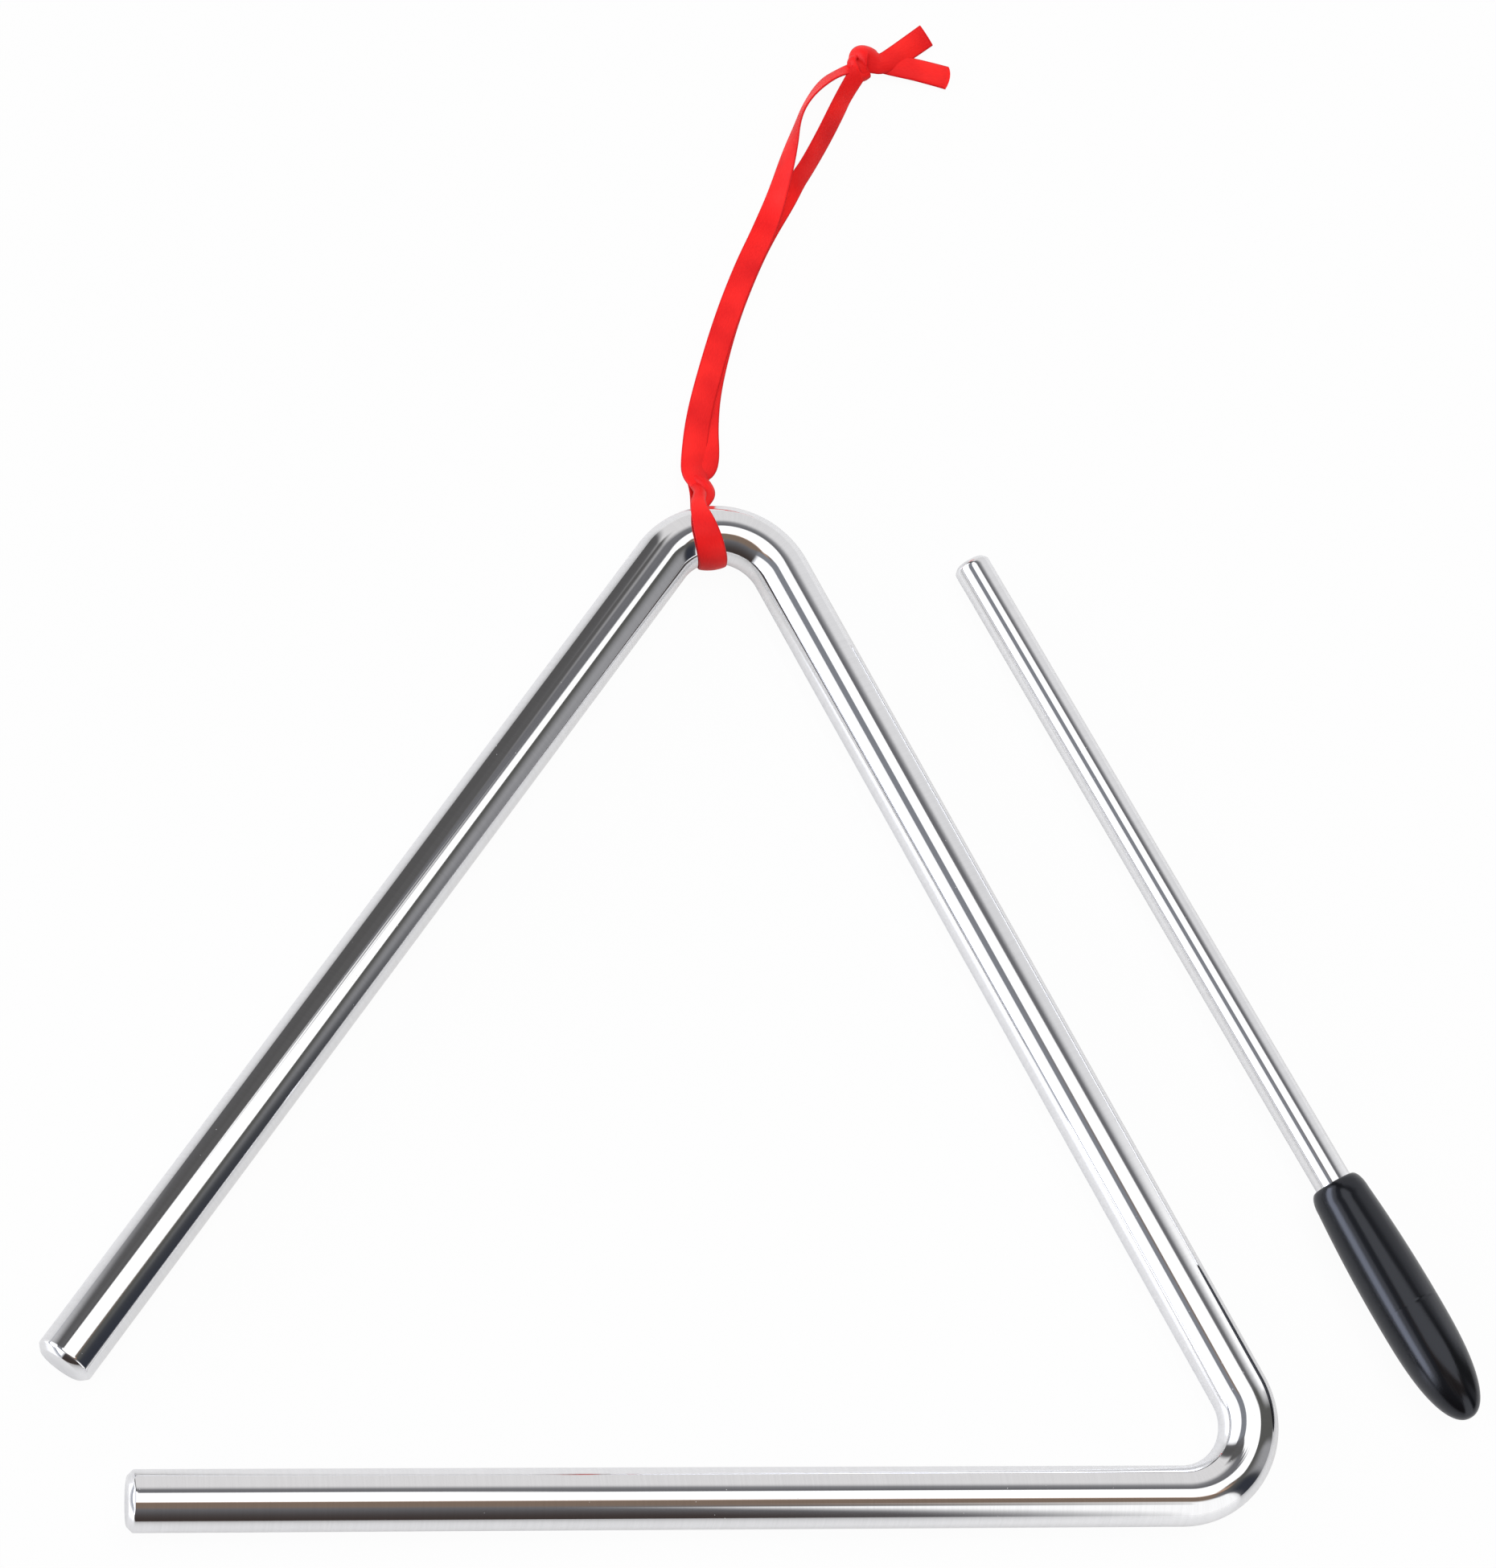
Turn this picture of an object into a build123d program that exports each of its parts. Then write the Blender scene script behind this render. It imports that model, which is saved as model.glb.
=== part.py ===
"""A student's triangle with its ribbon and beater, lying flat on a table. Millimetres, +Z up."""
import os
from math import asin, cos, radians, sin, tan

from build123d import *

# The bar: lengths run along the mid-line to the sharp corners that the bends round off,
# and each free end is cut short of the open corner
bar_diameter = 8.0
side_length = 160.0
left_end_cut = 21.5
base_end_cut = 20.9
apex_angle = 62.5
corner_angle = 63.5
bend_radius = 9.8
bar_end_chamfer = 0.8

# Place of the apex corner, which centres the triangle and its beater over the origin
apex_x = -1.7
apex_y = 76.0

# The ribbon: a flat strip, and the clearance of its band round the curved bar
ribbon_width = 3.4
ribbon_thickness = 0.4
loop_clearance = 0.3
loop_bearing = 98.0
layer_gap = 0.1
run_share = 0.45

# The half knot between the band and the strands
hitch_end_diameter = 2.2
hitch_belly_diameter = 2.8
hitch_drop_angle = 15.0
hitch_foot = (-0.1, 11.7)

# The end knot and the two cut tails that leave it, placed from the centre of the band round the bar
knot_place = (26.2, 75.8)
knot_length = 4.6
knot_diameter = 3.8
knot_bearing = 35.0
tail_upper_start = (27.2, 76.4, 2.6)
tail_upper_end = (36.6, 81.6, 1.0)
tail_lower_start = (27.4, 75.7, 1.5)
tail_lower_end = (39.5, 75.1, 0.4)

# Routes of the two strands from the half knot to the end knot, from the centre of the band,
# chosen by hand from the photograph
strand_left_route = [
    (-0.6, 10.7), (-0.3, 16.7), (1.8, 25.1), (5.1, 35.1), (9.2, 44.5),
    (12.9, 52.3), (15.0, 59.7), (17.0, 66.1), (20.4, 71.7), (25.6, 75.4),
]
strand_right_route = [
    (0.6, 10.7), (0.9, 16.7), (2.3, 25.1), (5.3, 35.1), (9.3, 44.5),
    (13.9, 52.9), (18.5, 60.7), (22.8, 68.3), (25.9, 75.3),
]

# The beater: a rod seated in a blind bore of its handle, lying beside the right limb
rod_diameter = 5.2
rod_exposed = 100.3
rod_seat = 24.0
rod_tip_chamfer = 0.6
seat_clearance = 0.05
beater_along = 25.4
beater_aside = 26.16
beater_turn = 0.3
handle_length = 36.3
mouth_lip = 0.15
shoulder_length = 2.7
shoulder_diameter = 7.8
belly_distance = 19.1
belly_diameter = 9.1
nose_shares = [(0.56, 0.90), (0.85, 0.64)]

bar_radius = bar_diameter / 2
rod_radius = rod_diameter / 2
loop_inner_radius = bar_radius + loop_clearance
loop_outer_radius = loop_inner_radius + ribbon_thickness


def heading(angle):
    """Unit vector in the table's plane, at an angle in degrees from +X."""
    return Vector(cos(radians(angle)), sin(radians(angle)))


# The bar lies on its base limb and, at the apex, on the band of ribbon under it, so it tilts a little
open_angle = 180 - apex_angle - corner_angle
left_limb_length = side_length * sin(radians(corner_angle)) / sin(radians(open_angle)) - left_end_cut
base_limb_length = side_length * sin(radians(apex_angle)) / sin(radians(open_angle)) - base_end_cut
base_y = apex_y - side_length * sin(radians(corner_angle))
apex = Vector(apex_x, apex_y - base_y)
right_corner = apex + heading(-corner_angle) * side_length
left_end = apex + heading(-corner_angle - apex_angle) * left_limb_length
base_end = right_corner + heading(180) * base_limb_length
bend_centre = apex + heading(-corner_angle - apex_angle / 2) * (bend_radius / sin(radians(apex_angle / 2)))
loop_seat = bend_centre + heading(loop_bearing) * bend_radius
bar_tilt = asin((loop_outer_radius - bar_radius) / loop_seat.Y)
bar_plane = Plane(
    origin=(0, base_y, bar_radius), x_dir=(1, 0, 0), z_dir=(0, -sin(bar_tilt), cos(bar_tilt))
)

# The bar: one round section swept along its mid-line, with both free ends chamfered
with BuildPart() as triangle_bar:
    with BuildLine(bar_plane) as mid_line:
        corners = [tuple(point) for point in (left_end, apex, right_corner, base_end)]
        FilletPolyline(*corners, radius=bend_radius)
    with BuildSketch(Plane(origin=mid_line.line @ 0, z_dir=mid_line.line % 0)):
        Circle(bar_radius)
    sweep()
    chamfer(triangle_bar.faces().filter_by(GeomType.PLANE).edges(), bar_end_chamfer)

# The ribbon's band: a flat ring round the bar, square to it, which turns on it
loop_centre = bar_plane.from_local_coords(loop_seat)
loop_axis = bar_plane.from_local_coords(loop_seat + heading(loop_bearing - 90)) - loop_centre
loop_outward = bar_plane.from_local_coords(loop_seat + heading(loop_bearing)) - loop_centre
ribbon_foot = Vector(loop_centre.X, loop_centre.Y)
with BuildPart() as ribbon_bar_loop:
    with BuildSketch(Plane(origin=loop_centre, x_dir=loop_outward, z_dir=loop_axis)):
        Circle(loop_outer_radius)
        Circle(loop_inner_radius, mode=Mode.SUBTRACT)
    extrude(amount=ribbon_width / 2, both=True)

# The half knot: a small barrel from the band's outer side down to where the strands lie on the table
hitch_reach = loop_outer_radius - ribbon_thickness / 2
hitch_start = (
    loop_centre
    + loop_outward * (hitch_reach * cos(radians(hitch_drop_angle)))
    - bar_plane.z_dir * (hitch_reach * sin(radians(hitch_drop_angle)))
)
hitch_end = ribbon_foot + Vector(*hitch_foot, hitch_end_diameter / 2)
hitch_axis = hitch_end - hitch_start
hitch_across = Vector(0, 0, 1).cross(hitch_axis)
with BuildPart() as ribbon_hitch:
    with BuildSketch(Plane(origin=hitch_start, x_dir=hitch_axis, z_dir=hitch_across)):
        with BuildLine():
            outline_start = (0, hitch_end_diameter / 2)
            outline_belly = (hitch_axis.length / 2, hitch_belly_diameter / 2)
            outline_end = (hitch_axis.length, hitch_end_diameter / 2)
            ThreePointArc(outline_start, outline_belly, outline_end)
            Polyline(outline_end, (hitch_axis.length, 0), (0, 0), outline_start)
        make_face()
    revolve(axis=Axis(hitch_start, hitch_axis))


def corner_radii(points):
    """Radius at each inner point of a route: as large as its two runs allow."""
    radii = []
    for before, here, after in zip(points, points[1:], points[2:]):
        run_in = Vector(*here) - Vector(*before)
        run_out = Vector(*after) - Vector(*here)
        half_turn = radians(run_in.get_angle(run_out)) / 2
        radii.append(run_share * min(run_in.length, run_out.length) / tan(half_turn))
    return radii


def ribbon_strand(name, route, height):
    """A flat strip lying at one height along a route of straight runs and tangent arcs."""
    radii = corner_radii(route)
    with BuildPart() as strand:
        with BuildLine(Plane(ribbon_foot).offset(height)) as path:
            FilletPolyline(*route, radius=radii)
        with BuildSketch(Plane(origin=path.line @ 0, x_dir=(0, 0, 1), z_dir=path.line % 0)):
            Rectangle(ribbon_thickness, ribbon_width)
        sweep()
    strand.part.label = name
    length = path.wire().length
    volume_share = strand.part.volume / (length * ribbon_width * ribbon_thickness)
    print(name, "radii", [round(r, 1) for r in radii])
    print(name, "length", round(length, 2), "volume over section times length", round(volume_share, 4))
    return strand


lower_layer = layer_gap + ribbon_thickness / 2
upper_layer = lower_layer + ribbon_thickness + layer_gap
ribbon_strand_left = ribbon_strand("ribbon_strand_left", strand_left_route, upper_layer)
ribbon_strand_right = ribbon_strand("ribbon_strand_right", strand_right_route, lower_layer)

# The end knot: an egg-shaped lump resting on the table
knot_centre = ribbon_foot + Vector(*knot_place, knot_diameter / 2 + layer_gap)
with BuildPart() as ribbon_end_knot:
    with BuildSketch(Plane(origin=knot_centre, x_dir=heading(knot_bearing), z_dir=(0, 0, 1))):
        Ellipse(knot_length / 2, knot_diameter / 2)
        with Locations((0, -knot_diameter / 2)):
            Rectangle(knot_length, knot_diameter, mode=Mode.SUBTRACT)
    revolve(axis=Axis(knot_centre, heading(knot_bearing)))


def ribbon_tail(name, start, end):
    """A cut end of the ribbon: a straight flat strip that comes down from the knot to the table."""
    run = Vector(*end) - Vector(*start)
    across = Vector(0, 0, 1).cross(run)
    with BuildPart() as tail:
        with BuildSketch(Plane(origin=ribbon_foot + Vector(*start), x_dir=across, z_dir=run)):
            Rectangle(ribbon_width, ribbon_thickness)
        extrude(amount=run.length)
    tail.part.label = name
    return tail


ribbon_tail_upper = ribbon_tail("ribbon_tail_upper", tail_upper_start, tail_upper_end)
ribbon_tail_lower = ribbon_tail("ribbon_tail_lower", tail_lower_start, tail_lower_end)

# The beater rests on its rod's tip and on the widest ring of its handle, so its axis rises a little
beater_rise = asin((belly_diameter / 2 - rod_radius) / (rod_exposed + belly_distance))
beater_level = heading(beater_turn - corner_angle)
beater_axis = beater_level * cos(beater_rise) + Vector(0, 0, sin(beater_rise))
beater_place = heading(-corner_angle) * beater_along + heading(90 - corner_angle) * beater_aside
rod_tip = Vector(apex_x, apex_y, rod_radius) + beater_place
handle_mouth = rod_tip + beater_axis * rod_exposed

with BuildPart() as beater_rod:
    with BuildSketch(Plane(origin=rod_tip, z_dir=beater_axis)):
        Circle(rod_radius)
    extrude(amount=rod_exposed + rod_seat)
    chamfer(beater_rod.edges().group_by(Axis(rod_tip, beater_axis))[0], rod_tip_chamfer)

# The handle: a rounded shoulder, a side that swells to its belly, and a blunt nose, turned about the rod
bore_radius = rod_radius + seat_clearance
mouth_radius = bore_radius + mouth_lip
shoulder_radius = shoulder_diameter / 2
belly_radius = belly_diameter / 2
nose_length = handle_length - belly_distance
shoulder_point = (shoulder_radius, shoulder_length)
belly_point = (belly_radius, belly_distance)
nose_points = [
    (belly_radius * across_share, belly_distance + nose_length * along_share)
    for along_share, across_share in nose_shares
]
handle_across = Vector(0, 0, 1).cross(beater_axis)
handle_plane = Plane(origin=handle_mouth, x_dir=handle_across, z_dir=handle_across.cross(beater_axis))
with BuildPart() as beater_handle:
    with BuildSketch(handle_plane):
        with BuildLine():
            Line((bore_radius, 0), (mouth_radius, 0))
            EllipticalCenterArc(
                (mouth_radius, shoulder_length), shoulder_radius - mouth_radius, shoulder_length,
                start_angle=270, arc_size=90,
            )
            TangentArc(belly_point, shoulder_point, tangent=(0, -1))
            Spline(belly_point, *nose_points, (0, handle_length), tangents=[(0, 1), (-1, 0)])
            Polyline((0, handle_length), (0, rod_seat), (bore_radius, rod_seat), (bore_radius, 0))
        make_face()
    revolve(axis=Axis(handle_mouth, beater_axis))

triangle_bar.part.label = "triangle_bar"
ribbon_bar_loop.part.label = "ribbon_bar_loop"
ribbon_hitch.part.label = "ribbon_hitch"
ribbon_end_knot.part.label = "ribbon_end_knot"
beater_rod.part.label = "beater_rod"
beater_handle.part.label = "beater_handle"

os.makedirs("parts", exist_ok=True)
export_step(triangle_bar.part, "parts/triangle_bar.step")
export_step(ribbon_bar_loop.part, "parts/ribbon_bar_loop.step")
export_step(ribbon_hitch.part, "parts/ribbon_hitch.step")
export_step(ribbon_strand_left.part, "parts/ribbon_strand_left.step")
export_step(ribbon_strand_right.part, "parts/ribbon_strand_right.step")
export_step(ribbon_end_knot.part, "parts/ribbon_end_knot.step")
export_step(ribbon_tail_upper.part, "parts/ribbon_tail_upper.step")
export_step(ribbon_tail_lower.part, "parts/ribbon_tail_lower.step")
export_step(beater_rod.part, "parts/beater_rod.step")
export_step(beater_handle.part, "parts/beater_handle.step")

print("loop centre", loop_centre, "axis", loop_axis)
print("rod tip", rod_tip, "axis", beater_axis, "mouth", handle_mouth)
print("base end", bar_plane.from_local_coords(base_end), "left end", bar_plane.from_local_coords(left_end))
print("hitch start", hitch_start, "end", hitch_end)
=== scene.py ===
# %% [markdown]
# A student's triangle lies on a white table: a chromed bar bent at two corners, a red satin ribbon
# tied round its apex, and a chromed beater with a black handle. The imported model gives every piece
# its place, so this script only dresses it: finer meshes, finishes, light and a camera.

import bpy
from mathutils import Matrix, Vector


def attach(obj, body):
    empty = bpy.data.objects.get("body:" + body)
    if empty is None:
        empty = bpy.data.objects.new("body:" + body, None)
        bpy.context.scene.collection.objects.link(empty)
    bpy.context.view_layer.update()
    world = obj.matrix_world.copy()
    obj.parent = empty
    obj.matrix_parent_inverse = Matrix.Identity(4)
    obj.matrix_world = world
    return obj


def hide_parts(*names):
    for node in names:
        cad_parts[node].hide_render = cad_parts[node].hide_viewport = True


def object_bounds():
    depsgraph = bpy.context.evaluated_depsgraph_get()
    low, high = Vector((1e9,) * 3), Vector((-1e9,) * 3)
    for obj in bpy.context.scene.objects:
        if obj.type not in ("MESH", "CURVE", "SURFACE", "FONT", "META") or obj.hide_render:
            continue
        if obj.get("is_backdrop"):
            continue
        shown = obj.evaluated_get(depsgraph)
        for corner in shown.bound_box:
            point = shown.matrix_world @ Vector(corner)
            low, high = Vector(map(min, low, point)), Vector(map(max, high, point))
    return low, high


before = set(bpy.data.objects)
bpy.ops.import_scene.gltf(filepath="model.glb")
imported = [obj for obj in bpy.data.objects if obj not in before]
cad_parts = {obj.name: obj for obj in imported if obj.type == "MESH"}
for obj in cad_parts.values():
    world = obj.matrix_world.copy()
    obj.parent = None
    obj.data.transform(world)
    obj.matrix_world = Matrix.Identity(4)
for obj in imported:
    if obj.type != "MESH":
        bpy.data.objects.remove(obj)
cad_low, cad_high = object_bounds()

# %% Modules and the one length unit
from math import asin, cos, pi, radians, sin, tan

import bpy
from mathutils import Matrix, Vector

mm = 0.001

# %% [markdown]
# The camera comes first, because everything else is judged through it. The picture was taken with a
# long lens from the lower left, about 22 degrees off the vertical. A camera can be aimed with a
# constraint or with angles; here its three axes are worked out from the place, the target and the
# direction that is up in the picture, which is easy to read and leaves nothing to update later.

# %% Camera
camera_place = Vector((-0.13502, -0.18552, 0.62276))
camera_target = Vector((-0.00040, 0.03081, 0.00400))
picture_turn = radians(87.5)
picture_up = Vector((cos(picture_turn), sin(picture_turn), 0))

camera_data = bpy.data.cameras.new("camera")
camera_data.lens = 112.8
camera_data.sensor_width = 36.0
camera_data.clip_start = 0.01
camera_data.clip_end = 20.0
camera = bpy.data.objects.new("camera", camera_data)
bpy.context.scene.collection.objects.link(camera)
camera_back = (camera_place - camera_target).normalized()
camera_right = picture_up.cross(camera_back).normalized()
camera_axes = Matrix((camera_right, camera_back.cross(camera_right), camera_back)).transposed()
camera.matrix_world = Matrix.Translation(camera_place) @ camera_axes.to_4x4()
bpy.context.scene.camera = camera
print("camera at", [round(x, 3) for x in camera_place])

# %% [markdown]
# Polished chrome has hardly a colour of its own: what it shows is the room. The bands along this bar
# are a white ceiling light, lit walls and the dark gaps between them. They could be cards of
# glowing mesh round the object; painted into the world they can't stand in any view's way. One node
# group makes a flat card with soft edges out of the three parts of a direction.

# %% Node helpers
def new_node(tree, kind, **values):
    """A node with its properties set, and its inputs set or linked by name or number."""
    inputs = values.pop("inputs", {})
    node = tree.nodes.new(kind)
    for name, value in values.items():
        setattr(node, name, value)
    for name, value in inputs.items():
        if isinstance(value, bpy.types.NodeSocket):
            tree.links.new(value, node.inputs[name])
        else:
            node.inputs[name].default_value = value
    return node


def math_node(tree, operation, first, second=0.0):
    """The output of a math node on two values or sockets."""
    return new_node(tree, "ShaderNodeMath", operation=operation, inputs={0: first, 1: second}).outputs[0]


def mix_colours(tree, share, first, second):
    """A colour between two others."""
    inputs = {0: share, 6: first, 7: second}
    return new_node(tree, "ShaderNodeMix", data_type="RGBA", inputs=inputs).outputs[2]


def fit_range(tree, value, before=(0.0, 1.0), after=(0.0, 1.0)):
    """A value moved from the range it had before to the one it has after."""
    inputs = {
        "Value": value, "From Min": before[0], "From Max": before[1], "To Min": after[0], "To Max": after[1],
    }
    return new_node(tree, "ShaderNodeMapRange", inputs=inputs).outputs[0]


def noise(tree, place, scale, detail, roughness=0.5):
    """The value of a noise texture at a place."""
    inputs = {"Vector": place, "Scale": scale, "Detail": detail, "Roughness": roughness}
    return new_node(tree, "ShaderNodeTexNoise", inputs=inputs).outputs["Fac"]


def scaled(tree, place, scale):
    """A place with all its parts multiplied."""
    inputs = {0: place, "Scale": scale}
    return new_node(tree, "ShaderNodeVectorMath", operation="SCALE", inputs=inputs).outputs[0]


def bump_normal(tree, height):
    """The normal of a surface raised by a height in metres."""
    inputs = {"Strength": 1.0, "Distance": 1.0, "Height": height}
    return new_node(tree, "ShaderNodeBump", inputs=inputs).outputs[0]


def new_group(name, inputs, outputs):
    """An empty shader node group, with its input and output nodes."""
    tree = bpy.data.node_groups.new(name, "ShaderNodeTree")
    for socket, kind in inputs:
        tree.interface.new_socket(name=socket, in_out="INPUT", socket_type=kind)
    for socket, kind in outputs:
        tree.interface.new_socket(name=socket, in_out="OUTPUT", socket_type=kind)
    return tree, tree.nodes.new("NodeGroupInput"), tree.nodes.new("NodeGroupOutput")


def place_group(tree, group, **inputs):
    """A group placed in a material or world, its inputs given by name with _ for a space."""
    named = {name.replace("_", " "): value for name, value in inputs.items()}
    return new_node(tree, "ShaderNodeGroup", node_tree=group, inputs=named)


def new_material(name):
    """A material with its tree, its shader and the place that its mesh keeps on each point."""
    material = bpy.data.materials.new(name)
    material.use_nodes = True
    tree = material.node_tree
    place = new_node(tree, "ShaderNodeAttribute", attribute_name="place").outputs["Vector"]
    return material, tree, tree.nodes["Principled BSDF"], place


# %% Tent card group
FLOAT, VECTOR = "NodeSocketFloat", "NodeSocketVector"
card_inputs = [
    "Across", "Up", "Toward", "From", "To", "Bottom", "Top", "Side Edge", "Bottom Edge", "Top Edge",
]
tent_card, card_in, card_out = new_group(
    "tent_card", [(name, FLOAT) for name in card_inputs], [("Mask", FLOAT)]
)


def soft_step(tree, value, place, edge):
    """0 before a place and 1 after it, over an edge of that half width."""
    low = math_node(tree, "SUBTRACT", place, edge)
    high = math_node(tree, "ADD", place, edge)
    inputs = {"Value": value, "From Min": low, "From Max": high}
    return new_node(tree, "ShaderNodeMapRange", interpolation_type="SMOOTHSTEP", inputs=inputs).outputs[0]


card = card_in.outputs
least_toward = 0.001
toward = math_node(tent_card, "MAXIMUM", card["Toward"], least_toward)
card_across = math_node(tent_card, "DIVIDE", card["Across"], toward)
card_up = math_node(tent_card, "DIVIDE", card["Up"], toward)
card_mask = math_node(tent_card, "GREATER_THAN", card["Toward"], 0.0)
for value, first, last, first_edge, last_edge in (
    (card_across, "From", "To", "Side Edge", "Side Edge"),
    (card_up, "Bottom", "Top", "Bottom Edge", "Top Edge"),
):
    inside = soft_step(tent_card, value, card[first], card[first_edge])
    past = soft_step(tent_card, value, card[last], card[last_edge])
    card_mask = math_node(tent_card, "MULTIPLY", card_mask, inside)
    card_mask = math_node(tent_card, "MULTIPLY", card_mask, math_node(tent_card, "SUBTRACT", 1.0, past))
tent_card.links.new(card_mask, card_out.inputs["Mask"])
print("tent card group has", len(tent_card.nodes), "nodes")

# %% [markdown]
# The tent follows the bands on the bar. Each card is a stretch of one wall, measured in widths of
# the wall's distance, so 1 is 45 degrees away. Later cards lie over earlier ones. Only rays that
# don't come from the camera see them: behind the table's edge the camera sees plain white.

# %% World
gap_dark = (0.155, 0.155, 0.165, 1)
lit_white = (1.2, 1.2, 1.2, 1)
tent_cards = [
    ("west_gap", "west", (-1.0, 1.0), (0.0, 3.0), (0.12, 0.1, 0.15), (0.225, 0.235, 0.26, 1)),
    ("east_gap", "east", (-0.6, 0.55), (0.0, 2.3), (0.1, 0.05, 0.2), (0.10, 0.10, 0.095, 1)),
    ("north_west_gap", "north", (-0.88, -0.42), (0.0, 1.5), (0.2, 0.05, 0.6), (0.095, 0.093, 0.093, 1)),
    ("north_wall", "north", (-0.42, 1.35), (-0.03, 1.4), (0.08, 0.03, 0.4), (0.74, 0.73, 0.73, 1)),
    ("north_east_wall", "north", (0.75, 2.9), (-0.03, 1.75), (0.9, 0.03, 0.85), (0.75, 0.75, 0.76, 1)),
    ("north_east_light", "north", (1.65, 2.3), (-0.03, 0.95), (0.12, 0.03, 0.4), (1.15, 1.15, 1.15, 1)),
    ("north_west_corner", "north", (-0.65, -0.24), (0.86, 2.2), (0.1, 0.12, 0.3), (0.105, 0.103, 0.103, 1)),
    ("west_wall", "west", (-0.95, 1.1), (-0.02, 1.10), (0.14, 0.04, 0.06), (1.12, 1.12, 1.14, 1)),
    ("west_light", "west", (-0.8, 0.7), (0.15, 0.60), (0.1, 0.1, 0.12), (3.7, 3.85, 4.3, 1)),
    ("west_foot", "west", (-1.0, 1.1), (-0.03, 0.095), (0.12, 0.02, 0.035), (0.38, 0.40, 0.45, 1)),
    ("south_glow", "top", (-0.5, 0.62), (-0.8, -0.1), (0.08, 0.2, 0.05), (0.21, 0.155, 0.12, 1)),
    ("south_gap", "south", (-0.95, 0.245), (-0.2, 0.75), (0.05, 0.06, 0.7), (0.050, 0.039, 0.036, 1)),
    ("south_east_card", "south", (0.285, 1.4), (-0.02, 1.08), (0.04, 0.05, 0.1), (1.05, 1.05, 1.05, 1)),
    ("south_east_top", "south", (0.46, 1.4), (1.0, 1.5), (0.1, 0.1, 0.25), (1.05, 1.05, 1.05, 1)),
    ("east_wall", "east", (-0.325, 0.0), (-0.02, 0.85), (0.05, 0.05, 0.45), (0.32, 0.32, 0.33, 1)),
    ("east_dark", "east", (-0.70, -0.325), (-0.02, 1.15), (0.12, 0.05, 0.45), (0.034, 0.038, 0.05, 1)),
    ("south_fringe", "top", (-0.5, 0.62), (-0.32, -0.2), (0.08, 0.012, 0.03), (0.46, 0.31, 0.23, 1)),
    ("ceiling_back", "top", (-0.40, -0.10), (0.2, 0.47), (0.03, 0.03, 0.03), lit_white),
    ("ceiling_middle", "top", (-0.40, 0.03), (0.2, 0.41), (0.03, 0.03, 0.03), lit_white),
    ("ceiling_side", "top", (0.45, 0.64), (-0.08, 0.26), (0.03, 0.03, 0.03), lit_white),
    ("ceiling_right", "top", (0.1, 0.5), (-0.28, 0.268), (0.03, 0.03, 0.03), lit_white),
    ("ceiling", "top", (-0.40, 0.16), (-0.28, 0.33), (0.03, 0.03, 0.03), lit_white),
]

world = bpy.data.worlds.new("tent")
world.use_nodes = True
bpy.context.scene.world = world
sky = world.node_tree
sky.nodes.clear()
ray = new_node(sky, "ShaderNodeTexCoord").outputs["Generated"]
east, north, top = new_node(sky, "ShaderNodeSeparateXYZ", inputs={0: ray}).outputs
west = math_node(sky, "MULTIPLY", east, -1.0)
south = math_node(sky, "MULTIPLY", north, -1.0)
wall_axes = {
    "north": (east, top, north), "south": (east, top, south),
    "east": (north, top, east), "west": (north, top, west), "top": (east, north, top),
}
tent_colour = gap_dark
for name, wall, (start, end), (bottom, upper), (side_edge, bottom_edge, top_edge), colour in tent_cards:
    across, up, towards = wall_axes[wall]
    node = place_group(
        sky, tent_card, Across=across, Up=up, Toward=towards, From=start, To=end, Bottom=bottom, Top=upper,
        Side_Edge=side_edge, Bottom_Edge=bottom_edge, Top_Edge=top_edge,
    )
    node.label = name
    tent_colour = mix_colours(sky, node.outputs[0], tent_colour, colour)
tent_light = new_node(sky, "ShaderNodeBackground", inputs={"Color": tent_colour})
plain_white = new_node(sky, "ShaderNodeBackground", inputs={"Color": (1, 1, 1, 1)})
seen_by_camera = new_node(sky, "ShaderNodeLightPath").outputs["Is Camera Ray"]
sky_mix = new_node(
    sky, "ShaderNodeMixShader",
    inputs={0: seen_by_camera, 1: tent_light.outputs[0], 2: plain_white.outputs[0]},
)
new_node(sky, "ShaderNodeOutputWorld", inputs={"Surface": sky_mix.outputs[0]})
bpy.context.scene.view_settings.view_transform = "Standard"
print("tent of", len(tent_cards), "cards")

# %% [markdown]
# The ceiling's strip of light is narrow, so one soft lamp above the table, a little to the back and the
# right, fills what it leaves dark. The lamp isn't seen in the chrome: the tent alone makes the bands.

# %% Fill lamp
fill_data = bpy.data.lights.new("fill", "AREA")
fill_data.energy = 8.2
fill_data.size = 1.2
fill = bpy.data.objects.new("fill", fill_data)
fill.location = (0.30, 0.30, 1.25)
fill.rotation_euler = (-fill.location).to_track_quat("-Z", "Y").to_euler()
fill.visible_glossy = False
bpy.context.scene.collection.objects.link(fill)
print("fill lamp", fill_data.energy, "W")

# %% [markdown]
# The table is a plain white sheet with a faint gloss. In the picture the background is pure white, so
# nearly all that the camera sees of it is a plain white, and the rest is the lit sheet, which keeps a
# soft shadow under the pieces. The chrome sees mostly the lit sheet, a shade darker.

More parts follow.
